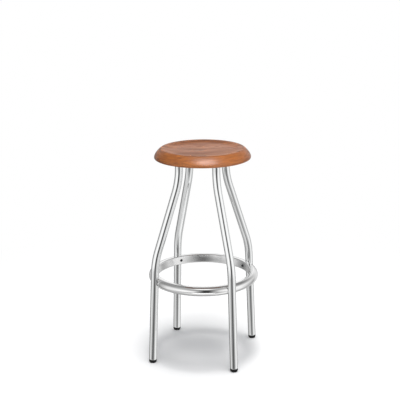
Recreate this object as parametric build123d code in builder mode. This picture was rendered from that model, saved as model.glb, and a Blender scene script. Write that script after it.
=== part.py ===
from build123d import *
import os
from math import atan2, cos, degrees, radians, sin

# Swivel bar stool: a dished wooden seat on a ball-bearing swivel, four bent tube legs, a
# footrest ring let into the legs, and screw feet. Millimetres, +Z up, front towards -Y.
# The origin is on the floor, under the swivel axis.

# Seat
seat_diameter = 337.0
seat_crest_diameter = 286.0
seat_crest_z = 760.0
seat_underside_z = 724.0
seat_edge_radius = 4.5
shoulder_fullness = 0.37
dish_floor_diameter = 208.0
dish_floor_z = 753.2
dish_centre_z = 751.0
dish_slope = 1 / 30
dish_lip_reach = 12.0
dish_foot_reach = 18.0
seat_recess_diameter = 180.0
seat_recess_depth = 6.0
seat_pocket_diameter = 36.0
seat_pocket_depth = 7.5

# Swivel
plate_thickness = 4.0
upper_plate_diameter = 176.0
lower_plate_diameter = 120.0
ball_diameter = 8.0
ball_count = 18
ball_circle = 100.0
ball_gap = 4.1
race_clearance = 0.05
cage_width = 13.0
cage_thickness = 2.4
cage_clearance = 0.15
pivot_shoulder_diameter = 12.0
pivot_thread_diameter = 10.0
pivot_head_diameter = 22.0
pivot_head_height = 4.0
pivot_socket_flats = 6.0
pivot_socket_depth = 2.5
pivot_tail = 2.0
bush_diameter = 16.0
running_clearance = 0.05
thrust_washer_diameter = 26.0
thrust_washer_thickness = 1.4
thrust_clearance = 0.1
pivot_washer_diameter = 20.0
pivot_washer_thickness = 2.0
lock_nut_flats = 17.0
lock_nut_height = 6.5
lock_nut_collar_diameter = 14.4
lock_nut_collar_height = 2.5

# Screws, bolts and nuts
hole_clearance = 0.3
thread_clearance = 0.02
countersink_clearance = 0.1
seat_screw_circle = 144.0
seat_screw_diameter = 4.8
seat_screw_head_diameter = 9.2
seat_screw_length = 16.0
seat_screw_point = 3.0
seat_screw_cross = (4.4, 1.0)
seat_screw_cross_depth = 1.4
swivel_bolt_circle = 72.0
swivel_bolt_diameter = 6.0
swivel_bolt_head_diameter = 12.0
swivel_bolt_socket_flats = 4.0
swivel_bolt_socket_depth = 2.0
swivel_bolt_tail = 2.0
swivel_nut_flats = 10.0
swivel_nut_height = 5.0
fastener_count = 4

# Frame
top_plate_side = 170.0
top_plate_corner = 20.0
top_plate_thickness = 5.0
access_hole_diameter = 13.0
tube_diameter = 28.0
tube_wall = 1.5
leg_top_radius = 93.5
upper_bend_z = 654.0
lower_bend_radius = 192.5
lower_bend_z = 376.0
foot_radius = 210.8
bend_radius = 260.0
corners = {"front_left": 225.0, "front_right": 315.0, "back_right": 45.0, "back_left": 135.0}

# Footrest ring and how it is fixed to the legs
ring_diameter = 391.0
ring_depth = 29.0
ring_height = 32.0
ring_wall = 2.0
ring_corner = 4.0
ring_z = 296.0
notch_clearance = 0.05
notch_reach = 60.0
ring_screw_diameter = 6.0
ring_screw_head_diameter = 10.5
ring_screw_head_rim = 0.4
ring_screw_head_height = 3.3
ring_screw_crown_diameter = 5.2
ring_screw_socket_flats = 4.0
ring_screw_socket_depth = 2.0
ring_screw_length = 24.0
spot_face_diameter = 11.4
spot_face_depth = 0.6
spacer_diameter = 12.0
thread_bush_diameter = 10.0
thread_bush_length = 12.5
thread_bush_inset = 1.0

# Screw feet, measured along the lower leg's axis from the floor
tube_end = 12.5
collar_start = 13.2
collar_height = 3.5
collar_flats = 13.0
collar_gap = 0.3
insert_length = 25.0
insert_nut_flats = 13.0
insert_nut_height = 6.5
stud_diameter = 8.0
stud_neck_diameter = 7.0
stud_end = 50.0
stud_ball_diameter = 10.0
stud_ball_height = 6.3
socket_clearance = 0.06
socket_mouth_diameter = 8.4
pad_height = 11.0
pad_base_diameter = 21.0
pad_diameter = 27.6
pad_belly_height = 7.5
pad_shoulder_radius = 1.2

# Heights and radii that follow from the sizes above
seat_radius = seat_diameter / 2
crest_radius = seat_crest_diameter / 2
shoulder_z = seat_underside_z + seat_edge_radius
dish_floor_radius = dish_floor_diameter / 2
recess_z = seat_underside_z + seat_recess_depth
pocket_z = recess_z + seat_pocket_depth
upper_plate_z = recess_z - plate_thickness
ball_z = upper_plate_z - ball_gap / 2
lower_plate_top_z = upper_plate_z - ball_gap
lower_plate_z = lower_plate_top_z - plate_thickness
top_plate_z = lower_plate_z - top_plate_thickness
pivot_head_z = recess_z + thrust_clearance + thrust_washer_thickness
pivot_nut_z = top_plate_z - pivot_washer_thickness
pivot_end_z = pivot_nut_z - lock_nut_height - lock_nut_collar_height - pivot_tail
tube_radius = tube_diameter / 2
ring_radius = ring_diameter / 2
ring_inner_radius = ring_radius - ring_depth
leg_tilt = degrees(atan2(foot_radius - lower_bend_radius, lower_bend_z))
leg_axis_at_ring = foot_radius - (foot_radius - lower_bend_radius) * ring_z / lower_bend_z
leg_face_at_ring = leg_axis_at_ring - tube_radius
screw_seat_radius = ring_inner_radius + spot_face_depth
insert_start = collar_start + collar_height + collar_gap
insert_end = insert_start + insert_length
pad_radius = foot_radius - stud_ball_height * sin(radians(leg_tilt))

on_top = (Align.CENTER, Align.CENTER, Align.MIN)
below = (Align.CENTER, Align.CENTER, Align.MAX)


def leg_plane(angle, height=0.0):
    """Upright plane through the swivel axis: x is the distance from it, y the height."""
    outward = (cos(radians(angle)), sin(radians(angle)), 0)
    return Plane((0, 0, height), x_dir=outward, z_dir=(outward[1], -outward[0], 0))


def ring_screw_plane(angle, distance=0.0):
    """Plane across a ring screw, at the given distance from the swivel axis."""
    outward = (cos(radians(angle)), sin(radians(angle)), 0)
    return Plane((0, 0, ring_z), x_dir=(0, 0, 1), z_dir=outward).offset(distance)


def foot_plane(angle, height=0.0):
    """Plane across the lower leg, at the given height along its axis from the floor."""
    outward = Vector(cos(radians(angle)), sin(radians(angle)), 0)
    along = Vector(0, 0, cos(radians(leg_tilt))) - outward * sin(radians(leg_tilt))
    return Plane(outward * foot_radius, x_dir=outward.cross(along), z_dir=along).offset(height)


pieces = {}

# Seat: turned disc with a dished top, a recess for the swivel and a pocket for the pivot
with BuildPart() as seat:
    with BuildSketch(Plane.XZ):
        with BuildLine():
            Polyline(
                (0, dish_centre_z),
                (0, pocket_z),
                (seat_pocket_diameter / 2, pocket_z),
                (seat_pocket_diameter / 2, recess_z),
                (seat_recess_diameter / 2, recess_z),
                (seat_recess_diameter / 2, seat_underside_z),
                (seat_radius - seat_edge_radius, seat_underside_z),
            )
            CenterArc(
                (seat_radius - seat_edge_radius, shoulder_z),
                seat_edge_radius,
                start_angle=-90,
                arc_size=90,
            )
            Bezier(
                (seat_radius, shoulder_z),
                (seat_radius, shoulder_z + shoulder_fullness * (seat_crest_z - shoulder_z)),
                (crest_radius + shoulder_fullness * (seat_radius - crest_radius), seat_crest_z),
                (crest_radius, seat_crest_z),
            )
            Bezier(
                (crest_radius, seat_crest_z),
                (crest_radius - dish_lip_reach, seat_crest_z),
                (dish_floor_radius + dish_foot_reach, dish_floor_z + dish_slope * dish_foot_reach),
                (dish_floor_radius, dish_floor_z),
            )
            Bezier(
                (dish_floor_radius, dish_floor_z),
                (dish_floor_radius * 2 / 3, dish_floor_z - dish_slope * dish_floor_radius / 3),
                (dish_floor_radius / 3, dish_centre_z),
                (0, dish_centre_z),
            )
        make_face()
    revolve(axis=Axis.Z)
    with BuildSketch(Plane.XY.offset(recess_z)):
        with PolarLocations(seat_screw_circle / 2, fastener_count):
            Circle(seat_screw_diameter / 2 + thread_clearance)
    extrude(amount=seat_screw_length - plate_thickness + hole_clearance, mode=Mode.SUBTRACT)
pieces["seat"] = seat

# Upper swivel plate, screwed into the seat's recess
with BuildPart() as swivel_upper_plate:
    with BuildSketch(Plane.XY.offset(upper_plate_z)):
        Circle(upper_plate_diameter / 2)
        Circle(bush_diameter / 2, mode=Mode.SUBTRACT)
    extrude(amount=plate_thickness)
    with BuildSketch(Plane.XZ):
        with Locations((ball_circle / 2, ball_z)):
            Circle(ball_diameter / 2 + race_clearance)
    revolve(axis=Axis.Z, mode=Mode.SUBTRACT)
    with Locations(Plane((0, 0, upper_plate_z), z_dir=(0, 0, -1))):
        with PolarLocations(seat_screw_circle / 2, fastener_count):
            CounterSinkHole(
                seat_screw_diameter / 2 + hole_clearance,
                seat_screw_head_diameter / 2 + countersink_clearance,
                depth=plate_thickness,
                counter_sink_angle=90,
            )
pieces["swivel_upper_plate"] = swivel_upper_plate

# Plain bush in the upper plate that turns on the pivot
with BuildPart() as pivot_bush:
    with BuildSketch(Plane.XY.offset(upper_plate_z)):
        Circle(bush_diameter / 2)
        Circle(pivot_shoulder_diameter / 2 + running_clearance, mode=Mode.SUBTRACT)
    extrude(amount=plate_thickness)
pieces["pivot_bush"] = pivot_bush

# Countersunk wood screws from the upper plate into the seat
with BuildPart() as seat_screws:
    head_height = (seat_screw_head_diameter - seat_screw_diameter) / 2
    straight_length = seat_screw_length - seat_screw_point
    with Locations((0, 0, upper_plate_z)):
        with PolarLocations(seat_screw_circle / 2, fastener_count):
            Cone(seat_screw_head_diameter / 2, seat_screw_diameter / 2, head_height, align=on_top)
            Cylinder(seat_screw_diameter / 2, straight_length, align=on_top)
    with Locations((0, 0, upper_plate_z + straight_length)):
        with PolarLocations(seat_screw_circle / 2, fastener_count):
            Cone(seat_screw_diameter / 2, 0, seat_screw_point, align=on_top)
    with BuildSketch(Plane.XY.offset(upper_plate_z)):
        with PolarLocations(seat_screw_circle / 2, fastener_count):
            Rectangle(*seat_screw_cross)
            Rectangle(*reversed(seat_screw_cross))
    extrude(amount=seat_screw_cross_depth, mode=Mode.SUBTRACT)
pieces["seat_screws"] = seat_screws

# Ring of steel balls that carries the seat
with BuildPart() as bearing_balls:
    with Locations((0, 0, ball_z)):
        with PolarLocations(ball_circle / 2, ball_count):
            Sphere(ball_diameter / 2)
pieces["bearing_balls"] = bearing_balls

# Cage that keeps the balls evenly spaced
with BuildPart() as ball_cage:
    with BuildSketch(Plane.XY.offset(ball_z)):
        Circle((ball_circle + cage_width) / 2)
        Circle((ball_circle - cage_width) / 2, mode=Mode.SUBTRACT)
        with PolarLocations(ball_circle / 2, ball_count):
            Circle(ball_diameter / 2 + cage_clearance, mode=Mode.SUBTRACT)
    extrude(amount=cage_thickness / 2, both=True)
pieces["ball_cage"] = ball_cage

# Lower swivel plate, bolted to the frame
with BuildPart() as swivel_lower_plate:
    with BuildSketch(Plane.XY.offset(lower_plate_z)):
        Circle(lower_plate_diameter / 2)
        Circle((pivot_thread_diameter + hole_clearance) / 2, mode=Mode.SUBTRACT)
    extrude(amount=plate_thickness)
    with BuildSketch(Plane.XZ):
        with Locations((ball_circle / 2, ball_z)):
            Circle(ball_diameter / 2 + race_clearance)
    revolve(axis=Axis.Z, mode=Mode.SUBTRACT)
    with Locations((0, 0, lower_plate_top_z)):
        with PolarLocations(swivel_bolt_circle / 2, fastener_count, start_angle=45):
            CounterSinkHole(
                swivel_bolt_diameter / 2 + hole_clearance,
                swivel_bolt_head_diameter / 2 + countersink_clearance,
                depth=plate_thickness,
                counter_sink_angle=90,
            )
pieces["swivel_lower_plate"] = swivel_lower_plate

# Top plate of the frame, with holes that let a driver reach the seat screws
with BuildPart() as top_plate:
    with BuildSketch(Plane.XY.offset(top_plate_z)):
        RectangleRounded(top_plate_side, top_plate_side, top_plate_corner)
        Circle((pivot_thread_diameter + hole_clearance) / 2, mode=Mode.SUBTRACT)
        with PolarLocations(swivel_bolt_circle / 2, fastener_count, start_angle=45):
            Circle(swivel_bolt_diameter / 2 + hole_clearance, mode=Mode.SUBTRACT)
        with PolarLocations(seat_screw_circle / 2, fastener_count):
            Circle(access_hole_diameter / 2, mode=Mode.SUBTRACT)
    extrude(amount=top_plate_thickness)
pieces["top_plate"] = top_plate

# Countersunk bolts through the lower plate and the top plate
with BuildPart() as swivel_bolts:
    head_height = (swivel_bolt_head_diameter - swivel_bolt_diameter) / 2
    bolt_length = plate_thickness + top_plate_thickness + swivel_nut_height + swivel_bolt_tail
    with Locations((0, 0, lower_plate_top_z)):
        with PolarLocations(swivel_bolt_circle / 2, fastener_count, start_angle=45):
            Cone(swivel_bolt_diameter / 2, swivel_bolt_head_diameter / 2, head_height, align=below)
            Cylinder(swivel_bolt_diameter / 2, bolt_length, align=below)
    with BuildSketch(Plane.XY.offset(lower_plate_top_z)):
        with PolarLocations(swivel_bolt_circle / 2, fastener_count, start_angle=45):
            RegularPolygon(swivel_bolt_socket_flats / 2, 6, major_radius=False)
    extrude(amount=-swivel_bolt_socket_depth, mode=Mode.SUBTRACT)
pieces["swivel_bolts"] = swivel_bolts

# Nuts of those bolts, under the top plate
with BuildPart() as swivel_nuts:
    with BuildSketch(Plane.XY.offset(top_plate_z)):
        with PolarLocations(swivel_bolt_circle / 2, fastener_count, start_angle=45):
            RegularPolygon(swivel_nut_flats / 2, 6, major_radius=False)
            Circle(swivel_bolt_diameter / 2 + thread_clearance, mode=Mode.SUBTRACT)
    extrude(amount=-swivel_nut_height)
pieces["swivel_nuts"] = swivel_nuts

# Shoulder bolt that the seat turns on
with BuildPart() as pivot_bolt:
    with BuildSketch(Plane.XZ):
        with BuildLine():
            Polyline(
                (0, pivot_end_z),
                (pivot_thread_diameter / 2, pivot_end_z),
                (pivot_thread_diameter / 2, lower_plate_top_z),
                (pivot_shoulder_diameter / 2, lower_plate_top_z),
                (pivot_shoulder_diameter / 2, pivot_head_z),
                (pivot_head_diameter / 2, pivot_head_z),
                (pivot_head_diameter / 2, pivot_head_z + pivot_head_height),
                (0, pivot_head_z + pivot_head_height),
                close=True,
            )
        make_face()
    revolve(axis=Axis.Z)
    with BuildSketch(Plane.XY.offset(pivot_head_z + pivot_head_height)):
        RegularPolygon(pivot_socket_flats / 2, 6, major_radius=False)
    extrude(amount=-pivot_socket_depth, mode=Mode.SUBTRACT)
pieces["pivot_bolt"] = pivot_bolt

# Washer between the bolt's head and the turning plate
with BuildPart() as thrust_washer:
    with BuildSketch(Plane.XY.offset(pivot_head_z)):
        Circle(thrust_washer_diameter / 2)
        Circle((pivot_shoulder_diameter + hole_clearance) / 2, mode=Mode.SUBTRACT)
    extrude(amount=-thrust_washer_thickness)
pieces["thrust_washer"] = thrust_washer

# Washer and lock nut under the top plate
with BuildPart() as pivot_washer:
    with BuildSketch(Plane.XY.offset(top_plate_z)):
        Circle(pivot_washer_diameter / 2)
        Circle((pivot_thread_diameter + hole_clearance) / 2, mode=Mode.SUBTRACT)
    extrude(amount=-pivot_washer_thickness)
pieces["pivot_washer"] = pivot_washer

with BuildPart() as pivot_lock_nut:
    with BuildSketch(Plane.XY.offset(pivot_nut_z)):
        RegularPolygon(lock_nut_flats / 2, 6, major_radius=False)
    extrude(amount=-lock_nut_height)
    with BuildSketch(Plane.XY.offset(pivot_nut_z)):
        Circle(lock_nut_collar_diameter / 2)
    extrude(amount=-lock_nut_height - lock_nut_collar_height)
    with BuildSketch(Plane.XY.offset(pivot_nut_z)):
        Circle(pivot_thread_diameter / 2 + thread_clearance)
    extrude(amount=-lock_nut_height - lock_nut_collar_height, mode=Mode.SUBTRACT)
pieces["pivot_lock_nut"] = pivot_lock_nut

# Legs: bent tubes with a hole for the threaded bush at the ring's height
for corner, angle in corners.items():
    with BuildPart() as leg:
        with BuildLine(leg_plane(angle)) as leg_path:
            FilletPolyline(
                (leg_top_radius, top_plate_z),
                (leg_top_radius, upper_bend_z),
                (lower_bend_radius, lower_bend_z),
                (
                    foot_radius - tube_end * sin(radians(leg_tilt)),
                    tube_end * cos(radians(leg_tilt)),
                ),
                radius=bend_radius,
            )
        with BuildSketch(Plane(leg_path.line @ 0, z_dir=leg_path.line % 0)):
            Circle(tube_radius)
            Circle(tube_radius - tube_wall, mode=Mode.SUBTRACT)
        sweep()
        with BuildSketch(ring_screw_plane(angle, ring_inner_radius)):
            Circle(thread_bush_diameter / 2)
        extrude(amount=leg_axis_at_ring - ring_inner_radius, mode=Mode.SUBTRACT)
    pieces[f"leg_{corner}"] = leg

# Footrest ring: D-section tube, flat inside and round outside, notched around the legs
with BuildPart() as footrest_ring:
    with BuildSketch(Plane.XZ):
        round_radius = ring_height / 2
        with BuildLine():
            outer_half = ThreePointArc(
                (ring_radius - round_radius, ring_z - round_radius),
                (ring_radius, ring_z),
                (ring_radius - round_radius, ring_z + round_radius),
            )
            Polyline(
                outer_half @ 1,
                (ring_inner_radius, ring_z + round_radius),
                (ring_inner_radius, ring_z - round_radius),
                outer_half @ 0,
            )
        section = make_face()
        fillet(section.vertices().group_by(Axis.X)[0], ring_corner)
        offset(amount=-ring_wall, mode=Mode.SUBTRACT)
    revolve(axis=Axis.Z)
    for angle in corners.values():
        with BuildSketch(foot_plane(angle, ring_z - notch_reach / 2)):
            Circle(tube_radius + notch_clearance)
        extrude(amount=notch_reach, mode=Mode.SUBTRACT)
        with BuildSketch(ring_screw_plane(angle, ring_inner_radius - ring_wall)):
            Circle(spot_face_diameter / 2)
        extrude(amount=ring_wall + spot_face_depth, mode=Mode.SUBTRACT)
        with BuildSketch(ring_screw_plane(angle, ring_inner_radius)):
            Circle((ring_screw_diameter + hole_clearance) / 2)
        extrude(amount=2 * ring_wall, mode=Mode.SUBTRACT)
pieces["footrest_ring"] = footrest_ring

# Button-head screws from inside the ring into the legs
with BuildPart() as ring_screws:
    crown_radius = screw_seat_radius - ring_screw_head_height
    end_radius = screw_seat_radius + ring_screw_length
    for angle in corners.values():
        with BuildSketch(leg_plane(angle, ring_z)):
            with BuildLine():
                crown = RadiusArc(
                    (crown_radius, ring_screw_crown_diameter / 2),
                    (screw_seat_radius - ring_screw_head_rim, ring_screw_head_diameter / 2),
                    ring_screw_head_diameter / 2,
                )
                Polyline(
                    crown @ 1,
                    (screw_seat_radius, ring_screw_head_diameter / 2),
                    (screw_seat_radius, ring_screw_diameter / 2),
                    (end_radius, ring_screw_diameter / 2),
                    (end_radius, 0),
                    (crown_radius, 0),
                    crown @ 0,
                )
            make_face()
        revolve(axis=Axis((0, 0, ring_z), ring_screw_plane(angle).z_dir))
        with BuildSketch(ring_screw_plane(angle, crown_radius)):
            RegularPolygon(ring_screw_socket_flats / 2, 6, major_radius=False)
        extrude(amount=ring_screw_socket_depth, mode=Mode.SUBTRACT)
pieces["ring_screws"] = ring_screws

# Sleeves inside the hollow ring, saddled on the legs, that take the screws' clamping load
with BuildPart() as ring_spacers:
    sleeve_start = ring_inner_radius + ring_wall
    for angle in corners.values():
        with BuildSketch(ring_screw_plane(angle, sleeve_start)):
            Circle(spacer_diameter / 2)
            Circle((ring_screw_diameter + hole_clearance) / 2, mode=Mode.SUBTRACT)
        extrude(amount=leg_axis_at_ring - sleeve_start)
    for angle in corners.values():
        with BuildSketch(foot_plane(angle, ring_z - notch_reach / 2)):
            Circle(tube_radius + notch_clearance)
        extrude(amount=notch_reach, mode=Mode.SUBTRACT)
pieces["ring_spacers"] = ring_spacers

# Threaded bushes in the legs
with BuildPart() as leg_thread_bushes:
    for angle in corners.values():
        with BuildSketch(ring_screw_plane(angle, leg_face_at_ring + thread_bush_inset)):
            Circle(thread_bush_diameter / 2)
            Circle(ring_screw_diameter / 2 + thread_clearance, mode=Mode.SUBTRACT)
        extrude(amount=thread_bush_length)
pieces["leg_thread_bushes"] = leg_thread_bushes

# Plastic plugs in the leg ends, each with a pocket for a nut
with BuildPart() as leg_end_inserts:
    for angle in corners.values():
        with BuildSketch(foot_plane(angle, insert_start)):
            Circle(tube_radius - tube_wall)
            Circle((stud_diameter + hole_clearance) / 2, mode=Mode.SUBTRACT)
        extrude(amount=insert_length)
        with BuildSketch(foot_plane(angle, insert_end)):
            RegularPolygon(insert_nut_flats / 2, 6, major_radius=False)
        extrude(amount=-insert_nut_height, mode=Mode.SUBTRACT)
pieces["leg_end_inserts"] = leg_end_inserts

# Steel nuts in the plugs
with BuildPart() as insert_nuts:
    for angle in corners.values():
        with BuildSketch(foot_plane(angle, insert_end)):
            RegularPolygon(insert_nut_flats / 2, 6, major_radius=False)
            Circle(stud_diameter / 2 + running_clearance, mode=Mode.SUBTRACT)
        extrude(amount=-insert_nut_height)
pieces["insert_nuts"] = insert_nuts

# Screw feet: a stud with a hex collar and a ball end, and a domed pad that the ball snaps into
for corner, angle in corners.items():
    with BuildPart() as foot_stud:
        with Locations(foot_plane(angle, stud_ball_height)):
            Sphere(stud_ball_diameter / 2)
            Cylinder(stud_neck_diameter / 2, collar_start - stud_ball_height, align=on_top)
        with BuildSketch(foot_plane(angle, collar_start)):
            RegularPolygon(collar_flats / 2, 6, major_radius=False)
        extrude(amount=collar_height)
        with BuildSketch(foot_plane(angle, collar_start)):
            Circle(stud_diameter / 2)
        extrude(amount=stud_end - collar_start)
    pieces[f"foot_stud_{corner}"] = foot_stud

    pad_plane = Plane(leg_plane(angle).from_local_coords((pad_radius, 0)), z_dir=(0, 0, 1))
    ball_height = stud_ball_height * cos(radians(leg_tilt))
    with BuildPart() as foot_pad:
        with BuildSketch(Plane(pad_plane.origin, x_dir=(1, 0, 0), z_dir=(0, -1, 0))):
            with BuildLine():
                side = TangentArc(
                    (pad_diameter / 2, pad_belly_height),
                    (pad_base_diameter / 2, 0),
                    tangent=(0, -1),
                )
                Polyline(
                    side @ 1,
                    (0, 0),
                    (0, pad_height),
                    (pad_diameter / 2, pad_height),
                    side @ 0,
                )
            outline = make_face()
            fillet(outline.vertices().group_by(Axis.Z)[-1].sort_by(Axis.X)[-1], pad_shoulder_radius)
        revolve(axis=Axis(pad_plane.origin, (0, 0, 1)))
        with Locations(pad_plane.offset(ball_height)):
            Sphere(stud_ball_diameter / 2 + socket_clearance, mode=Mode.SUBTRACT)
            Cylinder(socket_mouth_diameter / 2, pad_height, align=on_top, mode=Mode.SUBTRACT)
    pieces[f"foot_pad_{corner}"] = foot_pad

os.makedirs("parts", exist_ok=True)
for name, piece in pieces.items():
    piece.part.label = name
    export_step(piece.part, f"parts/{name}.step")
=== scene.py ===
"""Looks of the swivel bar stool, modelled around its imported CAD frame.

Sizes are metres in the CAD frame: +Z up, the floor at z = 0 and the swivel axis on Z. Each
sub-assembly is a class that models its pieces and dresses them. Hardware inside the swivel
keeps its CAD shape and gets a finish.
"""

import logging
from collections.abc import Iterable, Sequence
from dataclasses import dataclass
from enum import Enum
from math import asin, atan2, cos, degrees, pi, radians, sin, tan

import bmesh
import bpy
from mathutils import Matrix, Vector
from mathutils.geometry import interpolate_bezier

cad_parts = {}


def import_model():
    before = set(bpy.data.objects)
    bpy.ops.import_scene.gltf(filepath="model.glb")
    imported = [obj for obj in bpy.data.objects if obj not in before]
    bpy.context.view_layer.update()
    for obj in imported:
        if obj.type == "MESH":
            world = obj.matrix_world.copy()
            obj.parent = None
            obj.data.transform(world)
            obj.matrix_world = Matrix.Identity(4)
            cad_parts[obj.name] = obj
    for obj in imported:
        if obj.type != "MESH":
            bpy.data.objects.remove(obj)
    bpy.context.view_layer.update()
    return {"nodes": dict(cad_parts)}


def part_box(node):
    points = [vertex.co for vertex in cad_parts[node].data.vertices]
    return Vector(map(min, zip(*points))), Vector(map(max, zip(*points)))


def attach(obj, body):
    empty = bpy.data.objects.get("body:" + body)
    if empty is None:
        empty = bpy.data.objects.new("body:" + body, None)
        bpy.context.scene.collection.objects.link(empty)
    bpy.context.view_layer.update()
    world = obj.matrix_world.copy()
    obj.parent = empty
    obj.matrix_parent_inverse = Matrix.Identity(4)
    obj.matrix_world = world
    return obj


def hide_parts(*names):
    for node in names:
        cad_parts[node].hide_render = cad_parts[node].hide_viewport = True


LOG = logging.getLogger("stool")
MM = 0.001
FULL_TURN = 2 * pi
MERGE_DISTANCE = 0.001 * MM
SHARP_ANGLE = radians(32)
CORNER_ANGLE = radians(50)
CORNER_SEGMENTS = 2
PHOTO_BEARING = radians(15.31)
WHITE = "#ffffff"
WARM_WHITE = "#fffcf8"
COOL_WHITE = "#f2f7ff"

Pair = tuple[float, float]
Triple = tuple[float, float, float]
Colour = tuple[float, float, float, float]
Tree = bpy.types.NodeTree
Node = bpy.types.Node
Socket = bpy.types.NodeSocket
Piece = bpy.types.Object
Mesh = bmesh.types.BMesh


class Corner(Enum):
    """A leg's bearing about the swivel axis, in degrees from +X."""

    FRONT_LEFT = 225.0
    FRONT_RIGHT = 315.0
    BACK_RIGHT = 45.0
    BACK_LEFT = 135.0

    @property
    def label(self) -> str:
        """The corner's name as the CAD nodes spell it."""
        return self.name.lower()

    @property
    def turn(self) -> Matrix:
        """The rotation from the +X direction to this corner."""
        return Matrix.Rotation(radians(self.value), 4, "Z")


def linear(hex_colour: str) -> Colour:
    """Turns an sRGB hex colour into a linear one.

    Args:
        hex_colour: A colour such as "#a5643e".

    Returns:
        Red, green, blue and an alpha of 1, all from 0 to 1.
    """
    channels = [int(hex_colour[start : start + 2], 16) / 255 for start in (1, 3, 5)]
    curved = [c / 12.92 if c <= 0.04045 else ((c + 0.055) / 1.055) ** 2.4 for c in channels]
    return (*curved, 1.0)


def add_node(
    tree: Tree, kind: str, inputs: dict[str | int, object] | None = None, **settings: object
) -> Node:
    """Adds a shader node with its settings and links.

    Args:
        tree: The node tree that gets the node.
        kind: The node's type, without the "ShaderNode" that all of them start with.
        inputs: For each input, by name or number, a value or the output socket it links from.
        **settings: The node's own properties.

    Returns:
        The new node.
    """
    node = tree.nodes.new("ShaderNode" + kind)
    for name, value in settings.items():
        setattr(node, name, value)
    for key, value in (inputs or {}).items():
        if isinstance(value, Socket):
            tree.links.new(value, node.inputs[key])
        else:
            node.inputs[key].default_value = value
    return node


def set_stops(ramp: Node, stops: Iterable[tuple[float, Colour]]) -> None:
    """Gives a colour ramp its stops.

    Args:
        ramp: A colour ramp node.
        stops: Each stop's place from 0 to 1, and its colour, in order.
    """
    elements = ramp.color_ramp.elements
    for number, (place, colour) in enumerate(stops):
        element = elements[number] if number < len(elements) else elements.new(place)
        element.position = place
        element.color = colour


@dataclass(frozen=True)
class Surface:
    """A material in the making: its nodes, its Principled BSDF and its Object coordinates."""

    tree: Tree
    shader: Node
    place: Socket

    def hold(self, name: str, value: object) -> None:
        """Sets a shader input that is the same all over."""
        self.shader.inputs[name].default_value = value

    def feed(self, name: str, pattern: Socket) -> None:
        """Links a pattern to a shader input."""
        self.tree.links.new(pattern, self.shader.inputs[name])


@dataclass(frozen=True)
class Relief:
    """A fine unevenness of a surface, which is seen where it breaks up the gloss."""

    size_mm: float
    height_mm: float
    strength: float
    octaves: float

    def emboss(self, surface: Surface) -> None:
        """Lets the relief tilt a surface.

        Args:
            surface: The surface that gets it.
        """
        bumps = add_node(
            surface.tree,
            "TexNoise",
            {"Vector": surface.place, "Scale": 1 / (self.size_mm * MM), "Detail": self.octaves},
        )
        tilt = add_node(
            surface.tree,
            "Bump",
            {
                "Strength": self.strength,
                "Distance": self.height_mm * MM,
                "Height": bumps.outputs["Fac"],
            },
        )
        surface.feed("Normal", tilt.outputs["Normal"])


@dataclass(frozen=True)
class Grain:
    """A pattern drawn out along the grain of wood, with its three sizes in millimetres."""

    length: float
    width: float
    depth: float
    octaves: float

    def draw(self, tree: Tree, place: Socket) -> Socket:
        """Adds the pattern to a material.

        Args:
            tree: The material's node tree.
            place: Coordinates with x along the grain.

        Returns:
            The pattern's value, from 0 to 1.
        """
        scale = tuple(1 / (size * MM) for size in (self.length, self.width, self.depth))
        drawn = add_node(tree, "Mapping", {"Vector": place, "Scale": scale})
        noise = add_node(
            tree,
            "TexNoise",
            {"Vector": drawn.outputs["Vector"], "Scale": 1.0, "Detail": self.octaves},
        )
        return noise.outputs["Fac"]


@dataclass(frozen=True)
class Finish:
    """A surface finish, which makes one material on its first use."""

    name: str

    def material(self) -> bpy.types.Material:
        """Finds this finish's material, or makes it.

        Returns:
            The material.
        """
        known = bpy.data.materials.get(self.name)
        if known:
            return known
        made = bpy.data.materials.new(self.name)
        made.use_nodes = True
        tree = made.node_tree
        tree.nodes.clear()
        shader = add_node(tree, "BsdfPrincipled")
        self.dress(Surface(tree, shader, add_node(tree, "TexCoord").outputs["Object"]))
        add_node(tree, "OutputMaterial", {"Surface": shader.outputs["BSDF"]})
        return made

    def dress(self, surface: Surface) -> None:
        """Gives a surface this finish, which each kind of finish does in its own way."""
        raise NotImplementedError


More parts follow.
